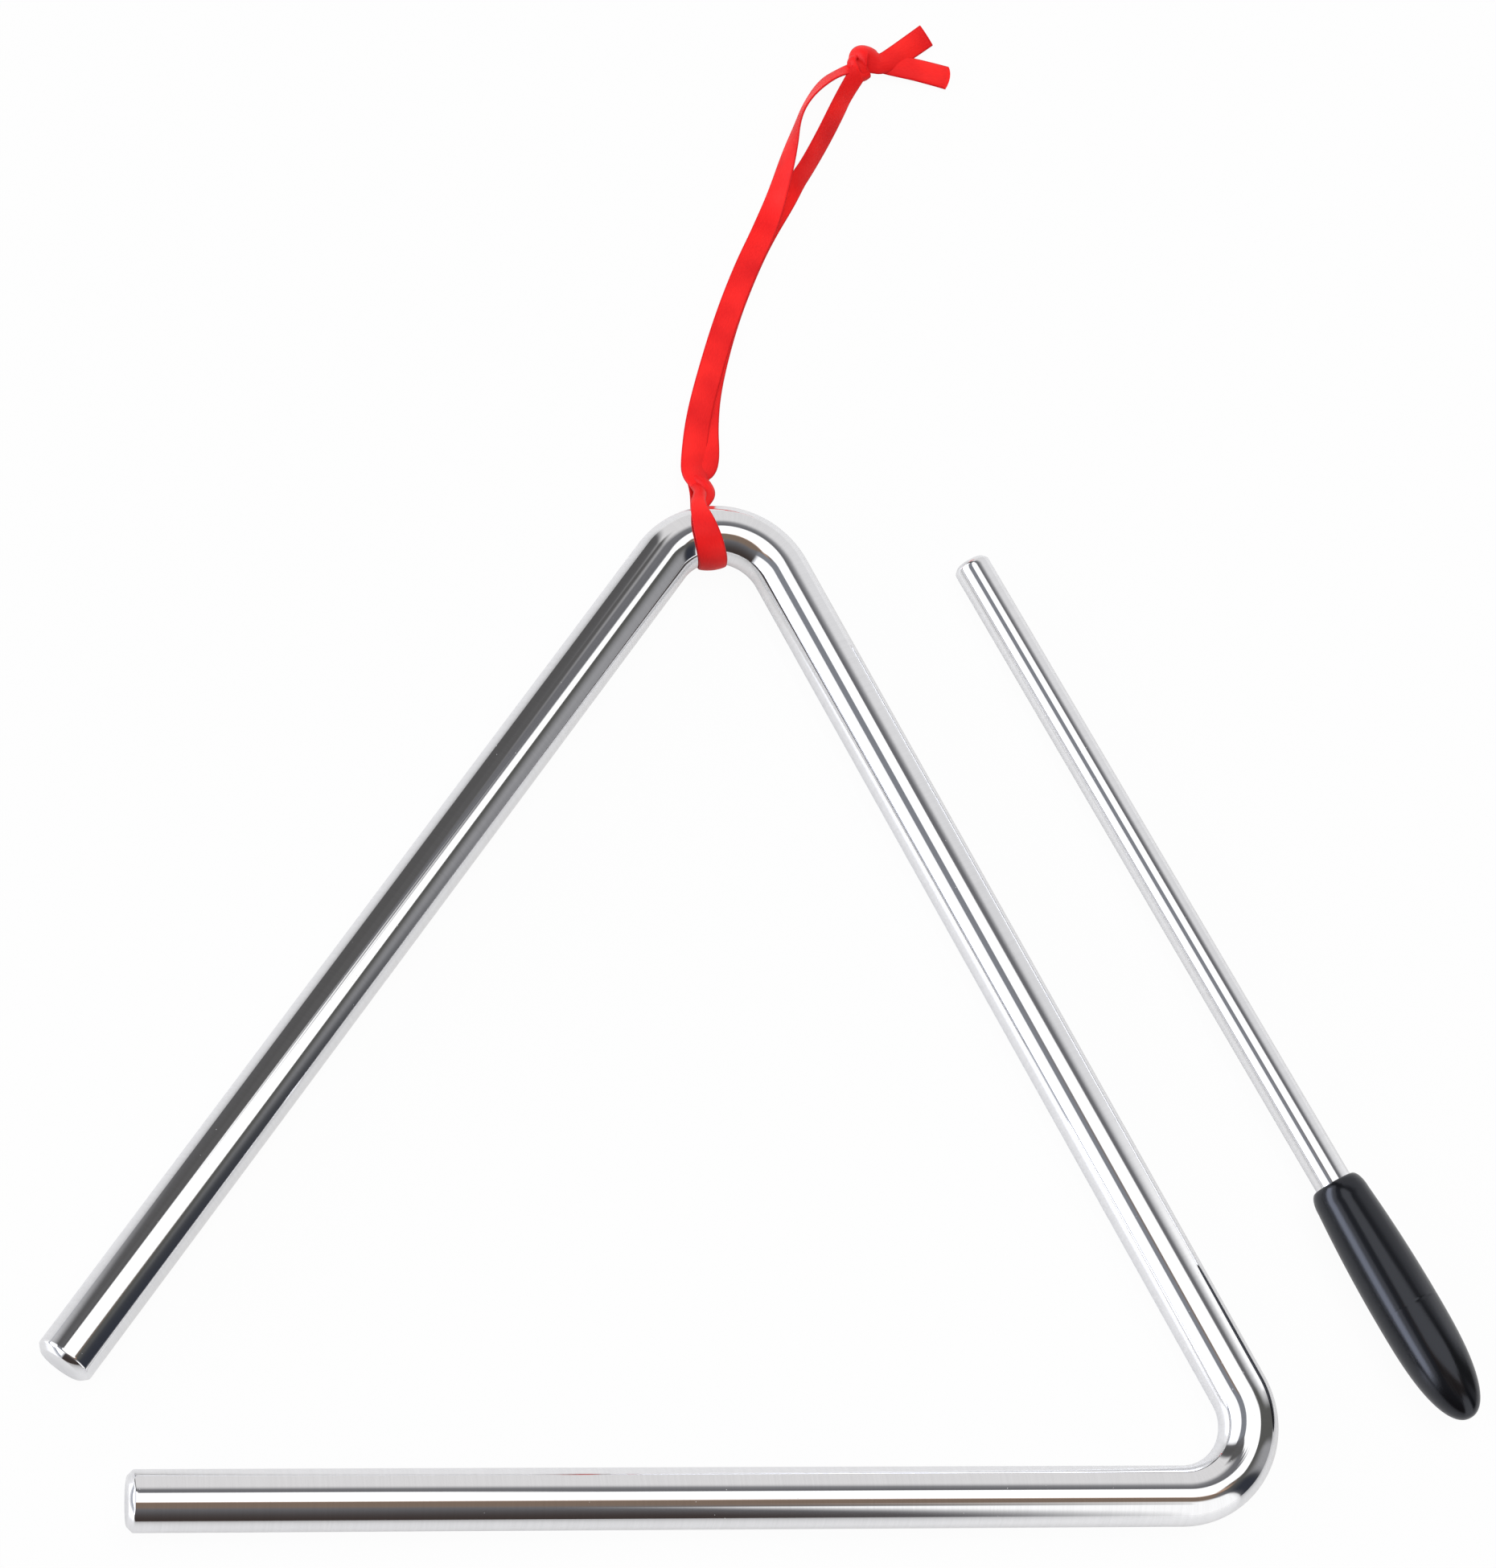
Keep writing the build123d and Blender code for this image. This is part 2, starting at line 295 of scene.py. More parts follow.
# %% Table
table_reach = 3.0
table_mesh = bpy.data.meshes.new("table")
table_corners = [(x * table_reach, y * table_reach, 0) for x, y in ((-1, -1), (1, -1), (1, 1), (-1, 1))]
table_mesh.from_pydata(table_corners, [], [(0, 1, 2, 3)])
table = bpy.data.objects.new("table", table_mesh)
bpy.context.scene.collection.objects.link(table)
table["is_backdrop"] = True

sheet = bpy.data.materials.new("white_sheet")
sheet.use_nodes = True
sheet_tree = sheet.node_tree
sheet_tree.nodes.clear()
lit = new_node(
    sheet_tree, "ShaderNodeBsdfPrincipled",
    inputs={"Base Color": (0.72, 0.72, 0.72, 1), "Roughness": 0.08, "Specular IOR Level": 0.5},
)
glow = new_node(sheet_tree, "ShaderNodeEmission", inputs={"Color": (1, 1, 1, 1), "Strength": 1.0})
rays = new_node(sheet_tree, "ShaderNodeLightPath").outputs
white_share = 0.0
for ray_kind, share in (("Is Camera Ray", 0.96), ("Is Glossy Ray", 0.30), ("Is Transmission Ray", 0.30)):
    white = math_node(sheet_tree, "MULTIPLY", rays[ray_kind], share)
    white_share = math_node(sheet_tree, "ADD", white_share, white)
sheet_mix = new_node(
    sheet_tree, "ShaderNodeMixShader", inputs={0: white_share, 1: lit.outputs[0], 2: glow.outputs[0]}
)
new_node(sheet_tree, "ShaderNodeOutputMaterial", inputs={"Surface": sheet_mix.outputs[0]})
table_mesh.materials.append(sheet)
print("table", 2 * table_reach, "m across")

# %% [markdown]
# The bar is one round rod of 8 mm, bent twice round a former and cut off with a small chamfer. The
# model's own mesh has flats that a mirror finish would show, so this one is swept again with finer
# rings along the same mid-line. Every point also keeps its place along and round the bar, so that
# the polishing marks can follow the bends.

# %% Bar sizes, as in the part's source
bar_radius = 4.0 * mm
side_length = 160.0 * mm
apex_angle, corner_angle = 62.5, 63.5
open_angle = 180 - apex_angle - corner_angle
bend_radius = 9.8 * mm
apex_place = Vector((-1.7 * mm, 76.0 * mm))
left_end_cut, base_end_cut = 21.5 * mm, 20.9 * mm
left_length = side_length * sin(radians(corner_angle)) / sin(radians(open_angle)) - left_end_cut
base_length = side_length * sin(radians(apex_angle)) / sin(radians(open_angle)) - base_end_cut
ribbon_thickness = 0.4 * mm
band_clearance = 0.3 * mm
band_radius = bar_radius + band_clearance + ribbon_thickness
band_bearing = 98.0


def heading(angle):
    """Unit vector in the bar's plane, at an angle in degrees from +X."""
    return Vector((cos(radians(angle)), sin(radians(angle))))


base_y = apex_place.y - side_length * sin(radians(corner_angle))
apex = Vector((apex_place.x, apex_place.y - base_y))
right_corner = apex + heading(-corner_angle) * side_length
apex_centre = apex + heading(-corner_angle - apex_angle / 2) * bend_radius / sin(radians(apex_angle / 2))
corner_centre = right_corner + heading(180 - corner_angle / 2) * bend_radius / sin(radians(corner_angle / 2))
band_seat = apex_centre + heading(band_bearing) * bend_radius
bar_tilt = asin((band_radius - bar_radius) / band_seat.y)
plane_x, plane_y = Vector((1, 0, 0)), Vector((0, cos(bar_tilt), sin(bar_tilt)))
plane_z = plane_x.cross(plane_y)


def on_bar_plane(point):
    """A point of the bar's tilted plane, in the shared frame."""
    return Vector((0, base_y, bar_radius)) + plane_x * point.x + plane_y * point.y


# %% Bar mid-line
straight_step, bend_step = 3.0 * mm, 2.0
apex_run = bend_radius / tan(radians(apex_angle / 2))
corner_run = bend_radius / tan(radians(corner_angle / 2))


def straight_stations(start, bearing, length):
    """Places and bearings along a straight limb, ends included."""
    count = round(length / straight_step)
    return [(start + heading(bearing) * length * i / count, bearing) for i in range(count + 1)]


def bend_stations(centre, first, last):
    """Places and bearings along a bend that turns clockwise, ends left out."""
    count = round((first - last) / bend_step)
    turns = [first + (last - first) * i / count for i in range(1, count)]
    return [(centre + heading(turn) * bend_radius, turn - 90) for turn in turns]


left_bearing = 180 - corner_angle - apex_angle
left_start = apex + heading(left_bearing + 180) * left_length
mid_line = straight_stations(left_start, left_bearing, left_length - apex_run)
mid_line += bend_stations(apex_centre, left_bearing + 90, 90 - corner_angle)
right_start = apex + heading(-corner_angle) * apex_run
mid_line += straight_stations(right_start, -corner_angle, side_length - apex_run - corner_run)
mid_line += bend_stations(corner_centre, 90 - corner_angle, -90)
mid_line += straight_stations(right_corner + heading(180) * corner_run, -180, base_length - corner_run)
print("bar stations", len(mid_line))

# %% Swept bar
ring_count = 128
# Each end, from its flat face's middle to the full section: distance from the face, and radius
end_profile = [
    (0.0, 0.0), (0.0, 1.6 * mm), (0.0, 3.08 * mm), (0.03 * mm, 3.18 * mm), (0.1 * mm, 3.29 * mm),
    (0.7 * mm, 3.89 * mm), (0.8 * mm, 3.97 * mm), (0.92 * mm, 4.0 * mm), (1.2 * mm, 4.0 * mm),
]


def smooth_mesh(name, points, faces, places):
    """A smooth-shaded mesh object, with one place kept on each point for its material."""
    mesh = bpy.data.meshes.new(name)
    mesh.from_pydata(points, [], faces)
    mesh.polygons.foreach_set("use_smooth", [True] * len(mesh.polygons))
    kept = mesh.attributes.new("place", "FLOAT_VECTOR", "POINT")
    kept.data.foreach_set("vector", [x for place in places for x in place])
    piece = bpy.data.objects.new(name, mesh)
    bpy.context.scene.collection.objects.link(piece)
    return piece


def tube_faces(rings, count):
    """Quads between rings of points that follow each other."""
    faces = []
    for ring in range(rings - 1):
        for k in range(count):
            here, there = ring * count + k, ring * count + (k + 1) % count
            faces.append((here, there, there + count, here + count))
    return faces


def swept_rings(stations, count):
    """Points and kept places of rings: each station is centre, side, up, radius, distance along."""
    points, places = [], []
    for centre, side, up, radius, along in stations:
        for k in range(count):
            turn = 2 * pi * k / count
            points.append(centre + (side * cos(turn) + up * sin(turn)) * radius)
            places.append((along, bar_radius * cos(turn), bar_radius * sin(turn)))
    return points, places


stations, along = [], 0.0
for place, bearing in mid_line:
    centre = on_bar_plane(place)
    along += (centre - stations[-1][0]).length if stations else 0.0
    side = plane_x * heading(bearing - 90).x + plane_y * heading(bearing - 90).y
    stations.append((centre, side, plane_z, bar_radius, along))
bar_length = along


def capped(stations, profile):
    """The stations with their first and last replaced by a chamfered, capped end."""
    first, second, last = stations[0], stations[1], stations[-1]
    inward = (second[0] - first[0]).normalized()
    outward = (last[0] - stations[-2][0]).normalized()
    start = [(first[0] + inward * s, first[1], first[2], r, first[4] + s) for s, r in profile]
    end = [(last[0] - outward * s, last[1], last[2], r, last[4] - s) for s, r in reversed(profile)]
    return start + stations[1:-1] + end


bar_stations = capped(stations, end_profile)
bar_points, bar_places = swept_rings(bar_stations, ring_count)
bar = smooth_mesh("chromed_bar", bar_points, tube_faces(len(bar_stations), ring_count), bar_places)
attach(bar, "triangle")
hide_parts("triangle_bar")
print("bar", round(bar_length / mm, 1), "mm along its mid-line,", len(bar.data.polygons), "faces")

# %% [markdown]
# Plating is polished on a wheel while the bar turns, which leaves very fine rings round it and a slow
# wave along it, and it has a few tiny pits. One group makes the heights of the rings and the wave,
# another the pits, and both the bar and the beater's rod use them with their own values.

# %% Polishing marks group
polish, polish_in, polish_out = new_group(
    "polishing_rings", [("Place", VECTOR), ("Ring Scale", FLOAT), ("Wave Scale", FLOAT)],
    [("Ring Height", FLOAT), ("Wave Height", FLOAT), ("Dullness", FLOAT)],
)
along_part, _, _ = new_node(polish, "ShaderNodeSeparateXYZ", inputs={0: polish_in.outputs["Place"]}).outputs
ring_along = math_node(polish, "MULTIPLY", along_part, polish_in.outputs["Ring Scale"])
round_scale = 90.0
ring_round = scaled(polish, polish_in.outputs["Place"], round_scale)
_, round_a, round_b = new_node(polish, "ShaderNodeSeparateXYZ", inputs={0: ring_round}).outputs
ring_place = new_node(polish, "ShaderNodeCombineXYZ", inputs={0: ring_along, 1: round_a, 2: round_b})
rings = noise(polish, ring_place.outputs[0], scale=1.0, detail=3.0, roughness=0.7)
wave_place = scaled(polish, polish_in.outputs["Place"], polish_in.outputs["Wave Scale"])
waves = noise(polish, wave_place, scale=1.0, detail=1.0)
dull = fit_range(polish, rings, before=(0.35, 0.8))
for socket, name in ((rings, "Ring Height"), (waves, "Wave Height"), (dull, "Dullness")):
    polish.links.new(socket, polish_out.inputs[name])

# %% Pits group
pits, pits_in, pits_out = new_group(
    "plating_pits", [("Place", VECTOR), ("Size", FLOAT), ("Share", FLOAT)], [("Mask", FLOAT)]
)
pit_place = scaled(pits, pits_in.outputs["Place"], pits_in.outputs["Size"])
cells = new_node(pits, "ShaderNodeTexVoronoi", inputs={"Vector": pit_place, "Scale": 1.0})
_, pick, _ = new_node(pits, "ShaderNodeSeparateColor", inputs={0: cells.outputs["Color"]}).outputs
picked = math_node(pits, "LESS_THAN", pick, pits_in.outputs["Share"])
dot = fit_range(pits, cells.outputs["Distance"], before=(0.25, 0.1))
pits.links.new(math_node(pits, "MULTIPLY", picked, dot), pits_out.inputs["Mask"])
print("polishing groups", len(polish.nodes), len(pits.nodes))

# %% Chrome
wave_scale, pit_scale, pit_share = 45.0, 2600.0, 0.015
pit_dulling = 0.35
bright_plating, dull_plating = (0.93, 0.93, 0.94, 1), (0.87, 0.87, 0.88, 1)


def chrome_finish(name, ring_scale, ring_depth, wave_depth):
    """Polished plating with rings round it, a slow wave and a few pits."""
    material, tree, shader, place = new_material(name)
    marks = place_group(tree, polish, Place=place, Ring_Scale=ring_scale, Wave_Scale=wave_scale)
    specks = place_group(tree, pits, Place=place, Size=pit_scale, Share=pit_share)
    shader.inputs["Metallic"].default_value = 1.0
    clean_rough = fit_range(tree, marks.outputs["Dullness"], after=(0.04, 0.065))
    pit_rough = math_node(tree, "MULTIPLY", specks.outputs[0], pit_dulling)
    tree.links.new(math_node(tree, "ADD", clean_rough, pit_rough), shader.inputs["Roughness"])
    tint = mix_colours(tree, marks.outputs["Dullness"], bright_plating, dull_plating)
    tree.links.new(tint, shader.inputs["Base Color"])
    ring_height = math_node(tree, "MULTIPLY", marks.outputs["Ring Height"], ring_depth)
    wave_height = math_node(tree, "MULTIPLY", marks.outputs["Wave Height"], wave_depth)
    height = math_node(tree, "ADD", ring_height, wave_height)
    tree.links.new(bump_normal(tree, height), shader.inputs["Normal"])
    return material


bar_finish = chrome_finish("bar_chrome", ring_scale=2400.0, ring_depth=2.0e-7, wave_depth=2.2e-5)
bar.data.materials.append(bar_finish)
print("bar chrome", len(bar_finish.node_tree.nodes), "nodes")

# %% [markdown]
# The beater is turned round one axis: a rod with a chamfered tip, and a handle with a mouth, a soft
# shoulder, a belly and a blunt nose. Turned pieces could come from a screw modifier; rings round the
# axis from a list of distances and radii keep the same code as the bar.

# %% Beater axis, as in the part's source
rod_radius = 2.6 * mm
rod_exposed, rod_seat = 100.3 * mm, 24.0 * mm
handle_length = 36.3 * mm
mouth_radius = 2.8 * mm
shoulder_length, shoulder_radius = 2.7 * mm, 3.9 * mm
belly_distance, belly_radius = 19.1 * mm, 4.55 * mm
beater_along, beater_aside, beater_turn = 25.4 * mm, 26.16 * mm, 0.3

beater_rise = asin((belly_radius - rod_radius) / (rod_exposed + belly_distance))
level = heading(beater_turn - corner_angle)
beater_axis = Vector((level.x * cos(beater_rise), level.y * cos(beater_rise), sin(beater_rise)))
tip_place = apex_place + heading(-corner_angle) * beater_along + heading(90 - corner_angle) * beater_aside
rod_tip = Vector((tip_place.x, tip_place.y, rod_radius))
handle_mouth = rod_tip + beater_axis * rod_exposed
beater_side = Vector((0, 0, 1)).cross(beater_axis).normalized()
beater_up = beater_axis.cross(beater_side)
turned_count = 96


def turned_piece(name, start, profile):
    """A piece turned about the beater's axis, from its profile of distances and radii."""
    stations = [(start + beater_axis * s, beater_side, beater_up, r, s) for s, r in profile]
    points, places = swept_rings(stations, turned_count)
    faces = [tuple(reversed(face)) for face in tube_faces(len(stations), turned_count)]
    return smooth_mesh(name, points, faces, places)


# %% Beater rod
rod_steps = 30
rod_profile = [
    (0.0, 0.0), (0.0, 1.0 * mm), (0.0, 1.88 * mm), (0.04 * mm, 2.0 * mm), (0.12 * mm, 2.1 * mm),
    (0.5 * mm, 2.48 * mm), (0.62 * mm, 2.56 * mm), (0.8 * mm, 2.6 * mm), (1.2 * mm, 2.6 * mm),
]
rod_profile += [(rod_exposed * i / rod_steps, rod_radius) for i in range(1, rod_steps + 1)]
rod_profile += [(rod_exposed + rod_seat, rod_radius), (rod_exposed + rod_seat, 0.0)]
rod = turned_piece("beater_shaft", rod_tip, rod_profile)
rod_finish = chrome_finish("rod_chrome", ring_scale=2100.0, ring_depth=1.6e-7, wave_depth=1.8e-5)
rod.data.materials.append(rod_finish)
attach(rod, "beater")
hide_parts("beater_rod")
print("rod", len(rod.data.polygons), "faces")

# %% Beater handle
shoulder_steps, side_steps, nose_steps = 18, 40, 60
side_rise, side_run = belly_radius - shoulder_radius, belly_distance - shoulder_length
side_curve = (side_rise ** 2 + side_run ** 2) / (2 * side_rise)
# A hair-fine line runs round the belly
line_place, line_depth, line_half = 0.3 * mm, 0.012 * mm, 0.16 * mm
bore_radius, mouth_edge = 2.65 * mm, 0.05 * mm
handle_profile = [
    (rod_seat, 0.0), (rod_seat, bore_radius), (mouth_edge, bore_radius), (0.0, bore_radius + mouth_edge),
    (0.0, mouth_radius),
]
for i in range(1, shoulder_steps + 1):
    turn = radians(90 * i / shoulder_steps)
    handle_profile.append((
        shoulder_length * (1 - cos(turn)), mouth_radius + (shoulder_radius - mouth_radius) * sin(turn),
    ))
for i in range(1, side_steps):
    s = side_run * i / side_steps
    bulge = side_curve - (side_curve ** 2 - (side_run - s) ** 2) ** 0.5
    handle_profile.append((shoulder_length + s, belly_radius - bulge))
handle_profile += [
    (belly_distance + line_place + d * line_half, belly_radius - depth * line_depth)
    for d, depth in ((-2, 0), (-1, 0.05), (-0.4, 0.9), (0, 1), (0.4, 0.9), (1, 0.05))
]
nose_length = handle_length - belly_distance
nose_start, nose_taper, nose_roundness = 0.045, 2.9, 2.2
for i in range(nose_steps + 1):
    share = nose_start + (1 - nose_start) * sin(radians(90 * i / nose_steps))
    narrowing = max(0.0, 1 - share ** nose_taper) ** (1 / nose_roundness)
    handle_profile.append((belly_distance + nose_length * share, belly_radius * narrowing))
handle = turned_piece("beater_grip", handle_mouth, handle_profile)
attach(handle, "beater")
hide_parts("beater_handle")
print("handle", len(handle.data.polygons), "faces")

# %% [markdown]
# The handle is black plastic with a satin skin: a broad soft streak of light, a few fine rubs along
# it and a faint grain. Its gloss changes a little from place to place, so roughness gets noise, and
# the rubs are lighter and rougher.

# %% Handle skin
rub_stretch, rub_dulling = (120.0, 1500.0, 1500.0), 0.10
skin_black, rub_grey = (0.0035, 0.0037, 0.0045, 1), (0.010, 0.0105, 0.012, 1)
grain_depth = 4.0e-6

grip_black, grip_tree, grip_shader, grip_place = new_material("grip_black")
grain = noise(grip_tree, grip_place, scale=5200.0, detail=2.0)
stretched = new_node(
    grip_tree, "ShaderNodeVectorMath", operation="MULTIPLY", inputs={0: grip_place, 1: rub_stretch}
)
rubs = noise(grip_tree, stretched.outputs[0], scale=1.0, detail=3.0)
rub_mask = fit_range(grip_tree, rubs, before=(0.58, 0.78))
skin_rough = fit_range(grip_tree, grain, after=(0.15, 0.20))
rub_rough = math_node(grip_tree, "MULTIPLY", rub_mask, rub_dulling)
grip_tree.links.new(math_node(grip_tree, "ADD", skin_rough, rub_rough), grip_shader.inputs["Roughness"])
grip_colour = mix_colours(grip_tree, rub_mask, skin_black, rub_grey)
grip_tree.links.new(grip_colour, grip_shader.inputs["Base Color"])
grip_height = math_node(grip_tree, "MULTIPLY", grain, grain_depth)
grip_tree.links.new(bump_normal(grip_tree, grip_height), grip_shader.inputs["Normal"])
grip_shader.inputs["Specular IOR Level"].default_value = 0.6
grip_shader.inputs["Specular Tint"].default_value = (0.84, 0.88, 1.0, 1)
handle.data.materials.append(grip_black)
print("grip", len(grip_tree.nodes), "nodes")

# %% [markdown]
# A ribbon is a long thin strip. Each length of it here follows a smooth NURBS spline led by a few
# given points, with a direction across and a width at each point. The same spline kind
# carries all three, so that they stay in step. A curve's own bevel would give the strip too, but
# not its soft edges and its slight cup.

# %% Strip maker
strip_steps = 12
across_steps = 12
satin_thickness = 0.25 * mm
edge_round = 0.08 * mm


def spline_points(values):
    """Points read along a smooth NURBS spline with these control points."""
    curve = bpy.data.curves.new("route", "CURVE")
    curve.dimensions = "3D"
    spline = curve.splines.new("NURBS")
    spline.points.add(len(values) - 1)
    for point, value in zip(spline.points, values):
        point.co = (*value, 1)
    spline.order_u = 3
    spline.use_endpoint_u = True
    spline.resolution_u = strip_steps
    holder = bpy.data.objects.new("route", curve)
    mesh = bpy.data.meshes.new_from_object(holder)
    points = [vertex.co.copy() for vertex in mesh.vertices]
    bpy.data.objects.remove(holder)
    bpy.data.curves.remove(curve)
    bpy.data.meshes.remove(mesh)
    return points


def ribbon_strip(name, route, across, form, end_bow=0.0):
    """A strip along a route, from its crosswise direction and its width and cup in mm at each point."""
    centres = spline_points(route)
    sides = spline_points(across)
    forms = spline_points([(width * mm, cup * mm, 0) for width, cup in form])
    shares = [-1 + 2 * j / across_steps for j in range(across_steps + 1)]
    loop = [(u, 1) for u in shares] + [(1, 0)] + [(u, -1) for u in reversed(shares)] + [(-1, 0)]
    points, places, along = [], [], 0.0
    for i, centre in enumerate(centres):
        ahead = (centres[min(i + 1, len(centres) - 1)] - centres[max(i - 1, 0)]).normalized()
        side = (sides[i] - ahead * sides[i].dot(ahead)).normalized()
        face = side.cross(ahead)
        half, cup = forms[i].x / 2, forms[i].y
        along += (centre - centres[i - 1]).length if i else 0.0
        bow = end_bow * (i / (len(centres) - 1)) ** 4
        for u, layer in loop:
            reach = half - edge_round * abs(layer) * (abs(u) == 1)
            lift = cup * (1 - u * u) + layer * satin_thickness / 2
            points.append(centre + side * reach * u + face * lift + ahead * bow * (1 - u * u))
            places.append((along, half * u, u))
    count = len(loop)
    faces = tube_faces(len(centres), count)
    faces += [tuple(range(count)), tuple(range(len(points) - 1, len(points) - 1 - count, -1))]
    return smooth_mesh(name, points, faces, places), centres


def tilted(route, tilts):
    """Crosswise directions of a strip that lies flat, turned up on its right by an angle at each point."""
    sides = []
    for i, angle in enumerate(tilts):
        ahead = Vector(route[min(i + 1, len(route) - 1)]) - Vector(route[max(i - 1, 0)])
        right = ahead.cross(Vector((0, 0, 1))).normalized()
        up = right.cross(ahead).normalized()
        sides.append(right * cos(radians(angle)) + up * sin(radians(angle)))
    return sides


# %% Places on the ribbon
band_centre = on_bar_plane(band_seat)
band_axis = plane_x * heading(band_bearing - 90).x + plane_y * heading(band_bearing - 90).y
band_out = plane_x * heading(band_bearing).x + plane_y * heading(band_bearing).y
ribbon_foot = Vector((band_centre.x, band_centre.y, 0))


def from_foot(x, y, z):
    """A point given in metres from the table under the band's centre."""
    return ribbon_foot + Vector((x, y, z))


def from_band(out, aside, height):
    """A point given in mm: out from the band's centre, aside along its axis, and above the table."""
    level = ribbon_foot + band_out * (out * mm) + band_axis * (aside * mm)
    return Vector((level.x, level.y, height * mm))


print("band centre", [round(x / mm, 2) for x in band_centre])

# %% [markdown]
# The two strands lie one on the other and part near the end knot. The left one turns up on edge
# there, which is why it looks like a thread for a moment; the right one leans the other way. Their
# routes follow those of the solids, in metres, with points added where they turn. At each point come
# the angle that the strip is turned up on its right, and its width and cup in millimetres.

# %% Strands
left_points = [
    ((-0.0001, 0.0064, 0.0029), 8, (1.6, 0.3)), ((-0.0003, 0.0082, 0.0024), 6, (2.5, 0.4)),
    ((-0.0009, 0.0102, 0.0014), -3, (3.7, 0.4)), ((-0.0008, 0.0125, 0.0007), -7, (3.75, 0.2)),
    ((0.0000, 0.0184, 0.00062), -5, (3.6, 0.1)), ((0.0016, 0.0246, 0.00060), -4, (3.5, 0.08)),
    ((0.0047, 0.0343, 0.00062), 0, (3.5, 0.08)), ((0.0080, 0.0426, 0.00065), 3, (3.5, 0.08)),
    ((0.0109, 0.0486, 0.0009), 12, (3.5, 0.08)), ((0.0130, 0.0542, 0.00155), 40, (3.5, 0.1)),
    ((0.0150, 0.0609, 0.0018), 60, (3.5, 0.1)), ((0.0163, 0.0656, 0.0020), 86, (3.5, 0.1)),
    ((0.0180, 0.0692, 0.0020), 78, (3.4, 0.1)), ((0.0209, 0.0727, 0.00195), 57, (3.3, 0.1)),
    ((0.0237, 0.0744, 0.0017), 48, (2.8, 0.1)), ((0.0264, 0.0756, 0.0012), 12, (2.0, 0.3)),
]
right_points = [
    ((0.0002, 0.0074, 0.0021), -10, (1.3, 0.3)), ((0.0001, 0.0096, 0.0014), -5, (1.5, 0.3)),
    ((0.0008, 0.0113, 0.0008), 0, (3.3, 0.25)), ((0.00125, 0.0136, 0.00045), 0, (3.7, 0.12)),
    ((0.0013, 0.0184, 0.0003), 0, (3.55, 0.05)), ((0.0021, 0.0246, 0.0003), 0, (3.5, 0.03)),
    ((0.0048, 0.0343, 0.0003), 0, (3.5, 0.03)), ((0.0081, 0.0426, 0.0003), 0, (3.5, 0.03)),
    ((0.0110, 0.0486, 0.0003), -3, (3.5, 0.05)), ((0.0144, 0.0540, 0.0007), -24, (3.4, 0.08)),
    ((0.01605, 0.0566, 0.0014), -48, (3.5, 0.1)),
    ((0.0175, 0.0588, 0.00155), -50, (3.5, 0.1)), ((0.0201, 0.0635, 0.0015), -47, (3.5, 0.1)),
    ((0.0225, 0.0683, 0.0015), -45, (3.5, 0.1)), ((0.0241, 0.0716, 0.00155), -48, (3.3, 0.1)),
    ((0.0266, 0.0755, 0.0020), -15, (2.6, 0.4)),
]


def free_strand(name, points, end_bow=0.0):
    """A length of the ribbon from its points, angles and forms; its cut end bows out by end_bow."""
    route = [from_foot(*place) for place, _, _ in points]
    across = tilted(route, [angle for _, angle, _ in points])
    return ribbon_strip(name, route, across, [form for _, _, form in points], end_bow)


def line_length(points):
    """Length of a line of points."""
    return sum((b - a).length for a, b in zip(points, points[1:]))


left_strand, left_line = free_strand("left_strand", left_points)
right_strand, right_line = free_strand("right_strand", right_points)
print("strands", round(line_length(left_line) / mm, 1), round(line_length(right_line) / mm, 1), "mm")

# %% [markdown]
# Round the bar the ribbon is a band that narrows to a half knot. Its control points are seven corners
# of an eight-sided figure round the bar, which a quadratic spline turns into a near circle. It
# doesn't lie square to the bar: over the top it leans to the left, and both its ends run on into the
# half knot, where a fold of the other strand bulges out beside them.

# %% Band round the bar
band_line = 4.5 * mm
corner_step = 45.0
corner_reach = band_line / cos(radians(corner_step / 2))
band_route = [from_band(*place) for place in ((9.4, 0.3, 1.0), (8.0, 0.25, 2.4), (6.3, 0.1, 5.0))]
band_form = [(1.2, 0.3), (1.6, 0.45), (1.8, 0.35)]
for turn, aside, width, cup in (
    (37.5, -1.4, 2.0, 0.1), (82.5, -1.5, 3.3, 0.05), (127.5, -0.85, 3.9, 0.1), (172.5, -0.15, 4.0, 0.3),
    (217.5, 0.3, 3.8, 0.3), (262.5, 0.3, 3.4, 0.02), (307.5, 0.1, 2.6, 0.02),
):
    out, up = corner_reach * cos(radians(turn)), corner_reach * sin(radians(turn))
    band_route.append(band_centre + band_out * out + plane_z * up + band_axis * aside * mm)
    band_form.append((width, cup))
band_route += [from_band(*place) for place in ((6.2, 0.3, 0.9), (8.4, 0.4, 1.4), (10.4, 0.3, 0.8))]
band_form += [(1.9, 0.0), (1.8, 0.0), (1.8, 0.0)]
band, _ = ribbon_strip("bar_band", band_route, [-band_axis] * len(band_route), band_form)

# %% Half knot
fold_route = [from_band(*place) for place in (
    (10.2, 0.2, 1.0), (9.4, 0.9, 2.1), (8.2, 1.55, 2.9), (6.6, 1.6, 3.7), (5.3, 1.0, 4.3), (4.4, 0.0, 4.5),
)]
fold_form = [(1.4, 0.3), (1.7, 0.5), (1.8, 0.55), (1.9, 0.55), (1.6, 0.4), (1.4, 0.3)]
half_knot, _ = ribbon_strip("half_knot", fold_route, [-band_axis] * len(fold_route), fold_form)
print("band and half knot", len(band.data.polygons) + len(half_knot.data.polygons), "faces")

# %% [markdown]
# The end knot is a length of ribbon drawn over both strands: it comes up on the left, rounds out to a
# dome, narrows to a waist and runs on as the upper tail. The lower tail comes out from under it, and
# a small roll of the same ribbon shows round the dome's left and lower side.

